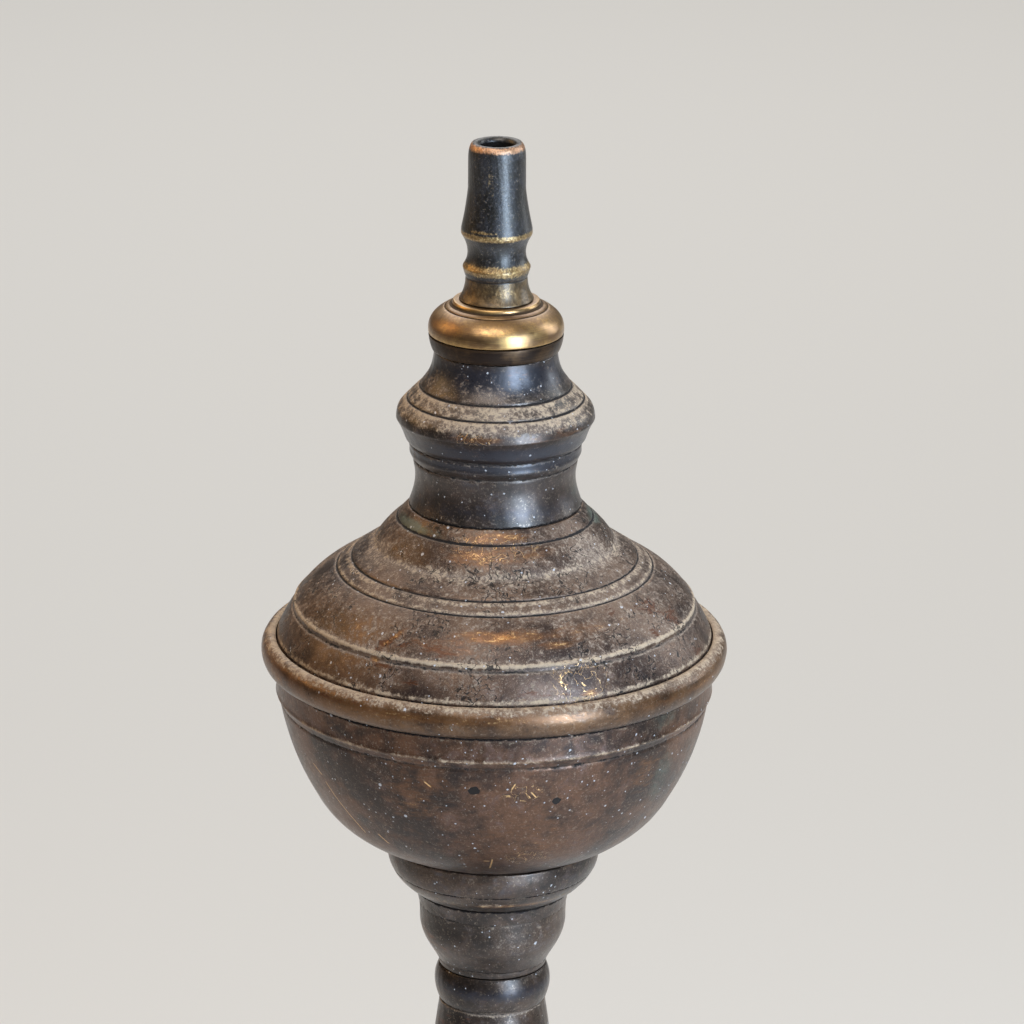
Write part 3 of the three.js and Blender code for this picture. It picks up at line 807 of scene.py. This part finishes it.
SKIRT = 84.2
turned("rim_bead", "lid", "patinated_bronze", BEAD,
       [(SKIRT + 0.3, 0), (87, 0), (90, 1.6, 91.4, 7.4, 88.6, 10.6), (86.8, 13, 84.5, 11.4)],
       [(SKIRT + 0.3, 0)], segments=448,
       lines=[Line(84.9, 11.8, dust=0.7, spread=1.8), Line(88.2, 11, dust=0.3, spread=1.5),
              # Painted shadow under the bead, round its lower edge, over the grime in the joint.
              Line(85.5, 0, grime_and_shadow=1.2, dark=1.6)],
       spots=[("rub_and_painted_light", -22, 7.9, 20, 1.5, 0.85), ("rub_and_painted_light", 2, 8.2, 24, 1.5, 0.7),
              ("rub_and_painted_light", 22, 11.4, 14, 1.6, 0.5), ("hairline", 20, 11.4, 16, 2.5, 1.0),
              ("hairline", 8, 11.4, 10, 2.5, 0.8), ("rub_and_painted_light", 60, 6.4, 30, 1.5, 0.5),
              # The wide rub at -78 degrees is partly painted warm light on the bead's left side.
              ("rub_and_painted_light", -78, 8.4, 44, 5, 0.55), ("rub_and_painted_light", 150, 7.4, 50, 1.6, 0.7),
              ("stain", 45, 10.4, 18, 3, 0.6), ("stain", -42, 9.4, 16, 2, 0.7)])

turned("shoulder_dome", "lid", "patinated_bronze", DOME,
       [(82.2, 0), (SKIRT, 0), (SKIRT, 11.8), (82.2, 17.2, 77.9, 23.4), (77.3, 24.9),
        (71.5, 33.6, 61.2, 39.4), (46.6, 49.4), (43.6, 54.6, 37.8, 59.5), (33.5, 64.2), (30, 64.2)],
       [(30, 59), (43, 47.6), (59, 37), (69, 31, 75, 23), (80.4, 15.4, 82.2, 10.8), (82.2, 0)],
       segments=448,
       lines=[Line(84.2, 11.9, grime_and_shadow=0.7, dark=0.35, depth=0.15, width=0.4),
              Line(83.9, 13.0, dust=0.6, spread=0.9),
              Line(77.9, 23.2, depth=0.35, width=0.45, grime_and_shadow=0.55, dark=0.5),
              Line(77.1, 25.3, depth=-0.35, width=0.6, dust=0.9, spread=0.75),
              Line(61.2, 39.5, depth=0.55, width=0.4, grime_and_shadow=0.9, dark=0.35),
              Line(60.2, 40.2, dust=0.55, spread=0.7),
              Line(55.4, 43.3, depth=0.5, width=0.4, grime_and_shadow=0.9, dark=0.35),
              Line(56.6, 42.5, dust=0.5, spread=0.9),
              Line(37.8, 59.5, depth=0.35, width=0.4, grime_and_shadow=0.95, dark=0.45),
              Line(46.6, 49.5, dust=0.35, spread=2.5)],
       # The rubs at the front, near 0 degrees at heights 30 to 35 and 55 to 62, are worn copper and partly a
       # painted highlight.
       spots=[("rub_and_painted_light", 0, 61.4, 12, 2.0, 0.8), ("rub_and_painted_light", -12, 55.8, 8, 3.4, 0.8),
              ("rub_and_painted_light", 10, 56.6, 16, 3.0, 0.6), ("hairline", 0, 58.4, 14, 5, 0.9),
              ("rub_and_painted_light", 2, 34, 15, 2.8, 0.95), ("rub_and_painted_light", 3, 34.2, 7, 1.6, 1.25), ("rub_and_painted_light", 20, 31, 7, 1.5, 0.8),
              ("rub_and_painted_light", 24, 33.6, 18, 3.4, 0.5), ("rub_and_painted_light", -14, 30.8, 14, 3.4, 0.5),
              ("stain", -17, 29.4, 8, 3.2, 0.8), ("stain", 6, 32.4, 28, 4.5, 0.5),
              ("rub_and_painted_light", -31.5, 31, 5.2, 0.9, 1.0, 52), ("stain", -33, 29.4, 6, 2.0, 0.9, 52),
              ("rub_and_painted_light", -34.8, 23, 2.2, 1.1, 1.0), ("stain", -31.5, 21.9, 4.5, 1.3, 0.9),
              ("stain", -27, 29.4, 5, 1.8, 0.8, 25), ("stain", -22, 18, 3, 1.6, 0.8),
              ("stain", 58, 35.4, 8, 4, 0.85), ("stain", 66, 29.4, 7, 5, 0.85),
              ("stain", 54, 28, 5, 3, 0.7), ("stain", 42, 36.9, 3, 4, 0.75),
              ("stain", 70, 14.9, 4, 3, 0.85), ("rub_and_painted_light", 24, 25.4, 6, 0.8, 0.7),
              ("rub_and_painted_light", 25.5, 14.2, 3, 1.2, 0.9), ("hairline", 24, 19.4, 10, 7, 0.9),
              ("stain", 10, 14.9, 26, 2.5, 0.5), ("verdigris", -62, 61, 14, 2.5, 0.8),
              ("verdigris", -40, 61, 8, 2, 0.5), ("verdigris", 92, 59.4, 10, 4, 0.7),
              ("pale", 56, 54.4, 8, 5, 0.4), ("pale", -70, 48.4, 8, 5, 0.35),
              ("stain", -120, 28.4, 16, 6, 0.8), ("rub_and_painted_light", -150, 33.4, 14, 2, 0.8),
              ("stain", 170, 20.4, 14, 5, 0.7), ("rub_and_painted_light", 130, 53.4, 10, 2.5, 0.8),
              ("hairline", -170, 38.4, 18, 10, 0.8)])

turned("lid_spigot", "lid", "patinated_bronze", DOME,
       [(79.4, -11.6), (81.5, -11.6), (81.5, 10)],
       [(79.4, 10), (79.4, -11.6)], below=11.6, segments=384, rough=0.2)

# ---------------------------------------------------------------- neck

turned("neck_casting", "lid", "dark_bronze", NECK,
       [(30, 0), (33.4, 0), (31, 6.5, 30, 11, 31.4, 16.5), (31.7, 18.5), (32.6, 20.6), (33.3, 25.4),
        (34.8, 27.4), (35.6, 29.8, 36.4, 32.2, 37.9, 34.6), (38.4, 36.6, 37.4, 39.2, 36.2, 40.3),
        (34.1, 42.6), (29.2, 47.5), (26.4, 51, 24, 54, 23.6, 61.5), (21.8, 61.5)],
       [(21.8, 51.1), (33.2, 38.6), (33.2, 34.4), (29.6, 24), (27.8, 12), (30, 0)],
       segments=320,
       lines=[Line(33.2, 0.3, grime_and_shadow=0.8, dark=0.5, dust=0.3),
              Line(31.7, 18.5, depth=0.35, width=0.4, grime_and_shadow=0.6, dark=0.5),
              Line(32.8, 21.6, depth=-0.25, width=0.6, dust=0.2),
              Line(33.3, 25.4, depth=0.35, width=0.4, grime_and_shadow=0.6, dark=0.5),
              Line(34.1, 42.6, depth=0.4, width=0.4, grime_and_shadow=0.9, dark=0.4),
              Line(34.9, 41.8, dust=0.5, spread=0.8), Line(33.2, 43.5, dust=0.25, spread=1.2),
              Line(29.2, 47.5, depth=0.4, width=0.4, grime_and_shadow=0.9, dark=0.4),
              Line(30.2, 46.5, dust=0.42, spread=0.9), Line(31.7, 45, dust=0.27, spread=2.4),
              Line(37.0, 39.4, dust=0.35, spread=2.0), Line(24.4, 55, blued=1.0, reach=4.2),
              Line(35.6, 30.0, blued=1.0, reach=2.2), Line(33.1, 23.5, blued=0.8, reach=2.0),
              Line(30.9, 5.0, blued=0.45, reach=3.0), Line(38.0, 35.2, depth=-0.15, width=0.4)],
       spots=[("rub_and_painted_light", -8, 36.4, 10, 1.0, 0.7), ("rub_and_painted_light", 40, 35.9, 12, 1.5, 0.4),
              ("stain", 35, 38.9, 12, 4, 0.5), ("hairline", -12, 36.9, 8, 2, 0.9),
              ("pale", 10, 40.4, 20, 2, 0.3), ("verdigris", 78, 7.9, 6, 6, 0.5),
              ("rub_and_painted_light", -160, 36.9, 14, 1.5, 0.7), ("stain", -100, 11.9, 8, 5, 0.5)])

turned("mouth_collar", "lid", "yellow_brass", BAND,
       [(19.4, -9.9), (21.4, -9.9), (21.4, 0), (24.3, 0), (25.6, 2.8, 25.8, 6.3)],
       [(19.4, 6.3), (19.4, -9.9)], below=9.9, segments=288, rough=0.4,
       thread=Thread(-9.5, 5.5, 19.4, -0.3),
       lines=[Line(25.75, 6.1, grime_and_shadow=0.7, dark=0.5), Line(24.6, 0.4, grime_and_shadow=0.5, dark=0.7)],
       spots=[("stain", -60, 3.1, 16, 4, 0.5), ("rub_and_painted_light", -5, 2.1, 10, 2, 0.5)])

# ---------------------------------------------------------------- burner

turned("cap_seal", "seal", "seal_leather", LEATHER,
       [(19.4, 0), (23.5, 0), (23.5, 1.5), (19.4, 1.5)],
       [(19.4, 0)], segments=192, rough=0.3, soft=0.2)

turned("screw_cap", "burner", "yellow_brass", CAP,
       [(9.3, -9), (18.6, -9), (18.6, 1.8), (23.9, 1.8), (23.9, 0), (25.8, 0),
        (26.4, 5, 24.6, 8, 17.1, 11.4), (16.4, 12.9), (9.3, 12.9)],
       [(9.3, -9)], below=9, segments=288, rough=0.35, thread=Thread(-8.6, 1.2, 18.6, 0.3),
       lines=[Line(17.1, 11.5, depth=0.25, width=0.3, grime_and_shadow=0.9, dark=0.35),
              Line(19.8, 10.4, depth=0.2, width=0.3, grime_and_shadow=0.85, dark=0.3),
              Line(16.0, 12.9, depth=0.0, grime_and_shadow=0.3), Line(25.9, 0.3, grime_and_shadow=0.6, dark=0.4)],
       spots=[("stain", 5, 10.5, 16, 1.6, 0.5), ("stain", -60, 3.5, 12, 3, 0.45)])

turned("wick_nozzle", "burner", "sooted_bronze", SOOT,
       [(6.6, -9.4), (9, -9.4), (9, 0), (14.4, 0), (11.8, 3.4, 11.8, 8.8), (13.0, 12.8),
        (8.8, 18.6, 13.6, 25.8), (13.5, 27.9), (11.6, 37, 11, 43.5), (11, 54.5), (11, 61.3, 8.4, 61.1),
        (7.2, 61.0, 6.6, 59.6)],
       [(6.6, -9.4)], below=9.4, segments=224, rough=0.6,
       lines=[Line(11.8, 8.9, depth=0.2, width=0.3, grime_and_shadow=0.9, dark=0.3), Line(13.9, 0.2, grime_and_shadow=0.8)],
       spots=[*all_round("stain", 3.3, 5.0, 0.9), *all_round("rub_and_painted_light", 13.1, 2.3, 0.8),
              *all_round("rub_and_painted_light", 26.3, 1.3, 0.8), ("rub_and_painted_light", -25, 28.7, 6, 0.7, 0.7),
              ("rub_and_painted_light", 16, 4.8, 4, 2.4, 0.5), ("rub_and_painted_light", -12, 46.3, 1.6, 7, 0.42),
              ("hairline", 0, 59.9, 90, 1.5, 0.66), ("hairline", 180, 59.9, 90, 1.5, 0.6)])

guide_length = length_of("guide_tube")
turned("guide_tube", "burner", "yellow_brass", FITTING,
       [(5.0, 0), (6.2, 0), (6.2, guide_length), (5.0, guide_length)],
       [(5.0, 0)], segments=96, rough=0.3, soft=0.2)

turned("foot_washer", "stand", "yellow_brass", FITTING,
       [(12.4, 0), (20, 0), (20, 2.2), (12.4, 2.2)],
       [(12.4, 0)], segments=192, rough=0.2, soft=0.25)


def hexagon(r, angle, profile):
    """Cuts the nut's round outline down to its six flats."""
    flat = 19 * math.cos(math.pi / 6)
    from_middle = (angle + math.pi / 6) % (math.pi / 3) - math.pi / 6
    side = flat / np.cos(from_middle)
    return np.where(r > 15, np.minimum(r, side), r)


turned("foot_nut", "stand", "yellow_brass", FITTING,
       [(12.4, 0), (16.2, 0), (19, 1.5), (19, 7.5), (16.2, 9), (12.4, 9)],
       [(12.4, 0)], segments=288, rough=0.0, soft=0.15, shape=hexagon)


def strands(r, angle, profile):
    """Three plies twisted into a cord."""
    twist = angle - profile.z[:, None] * 2 * math.pi / 26
    ply = 0.80 + 0.20 * np.abs(np.cos(1.5 * twist))
    fibres = 1 - 0.03 * (1 + np.cos(31 * angle + profile.z[:, None] * 2.2))
    return r * ply * fibres


wick_length = length_of("wick")
turned("wick", "cotton", "cotton", COTTON,
       [(0, 0), (3.2, 0), (4.2, 1.5), (4.2, wick_length - 3), (3.4, wick_length - 0.4), (0, wick_length)],
       [(0, wick_length)], segments=96, rough=0.0, soft=0.3, shape=strands,
       spots=all_round("stain", wick_length - 3, 5, 1.0))

# ---------------------------------------------------------------- studio

FLOOR_SIZE = 16.0  # m
AIM = Vector((0, 0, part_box("neck_casting")[0].z - 4 * MM))  # just under the neck
BEHIND = Vector((0, 2.4, 0))  # the middle of the floor that the camera sees
CAMERA_PITCH = math.radians(18.4)
CAMERA_DISTANCE = 2.115
CAMERA_LENS = 193.4  # mm, on a 36 mm sensor
CAMERA_ASIDE = Vector((0.0065, 0, 0))
CAMERA_ROLL = math.radians(0.4)


def floor():
    half = FLOOR_SIZE / 2
    corners = [(-half, -half, 0), (half, -half, 0), (half, half, 0), (-half, half, 0)]
    mesh = bpy.data.meshes.new("studio_floor")
    mesh.from_pydata(corners, [], [(0, 1, 2, 3)])
    material = bpy.data.materials.new("pale_floor")
    material.use_nodes = True
    shader = material.node_tree.nodes["Principled BSDF"]
    shader.inputs["Base Color"].default_value = (0.72, 0.71, 0.69, 1)
    shader.inputs["Roughness"].default_value = 0.9
    mesh.materials.append(material)
    piece = bpy.data.objects.new("studio_floor", mesh)
    bpy.context.scene.collection.objects.link(piece)


def soft_light(name, azimuth, elevation, distance, size, power, color, target=AIM):
    """An area light that faces a target; azimuth 0 is the viewer's side and 90 the right.
    Angles in degrees, distance and size in m, power in W."""
    a, e = math.radians(azimuth), math.radians(elevation)
    away = Vector((math.sin(a) * math.cos(e), -math.cos(a) * math.cos(e), math.sin(e)))
    data = bpy.data.lights.new(name, "AREA")
    data.shape = "RECTANGLE"
    data.size, data.size_y = size
    data.energy = power
    data.color = color
    lamp = bpy.data.objects.new(name, data)
    lamp.location = target + away * distance
    lamp.rotation_euler = away.to_track_quat("Z", "Y").to_euler()
    bpy.context.scene.collection.objects.link(lamp)


def camera():
    data = bpy.data.cameras.new("camera")
    data.sensor_width = 36
    data.lens = CAMERA_LENS
    data.clip_end = 50
    piece = bpy.data.objects.new("camera", data)
    back = Vector((0, -math.cos(CAMERA_PITCH), math.sin(CAMERA_PITCH)))
    tilt = Matrix.Rotation(math.pi / 2 - CAMERA_PITCH, 4, "X") @ Matrix.Rotation(CAMERA_ROLL, 4, "Z")
    piece.matrix_world = Matrix.Translation(AIM + back * CAMERA_DISTANCE + CAMERA_ASIDE) @ tilt
    bpy.context.scene.collection.objects.link(piece)
    bpy.context.scene.camera = piece


def studio_air():
    world = bpy.data.worlds.new("studio")
    world.use_nodes = True
    background = world.node_tree.nodes["Background"]
    background.inputs["Color"].default_value = (0.92, 0.82, 0.7, 1)
    background.inputs["Strength"].default_value = 0.1
    bpy.context.scene.world = world


floor()
soft_light("key", 36, 7, 1.3, (0.36, 1.25), 28, (0.66, 0.82, 1.0))
soft_light("warm_side", -104, 30, 1.2, (0.5, 0.7), 3.0, (1.0, 0.6, 0.24))
soft_light("cool_side", 112, 22, 1.2, (0.3, 0.9), 4.5, (0.9, 0.96, 1.0))
soft_light("top_fill", -15, 62, 1.6, (0.9, 0.9), 13, (1.0, 0.9, 0.79))
soft_light("floor_wash", 180, 78, 3.2, (4.0, 4.0), 120, (1.0, 0.99, 0.97), BEHIND)
studio_air()
camera()
bpy.context.scene.view_settings.view_transform = "Standard"
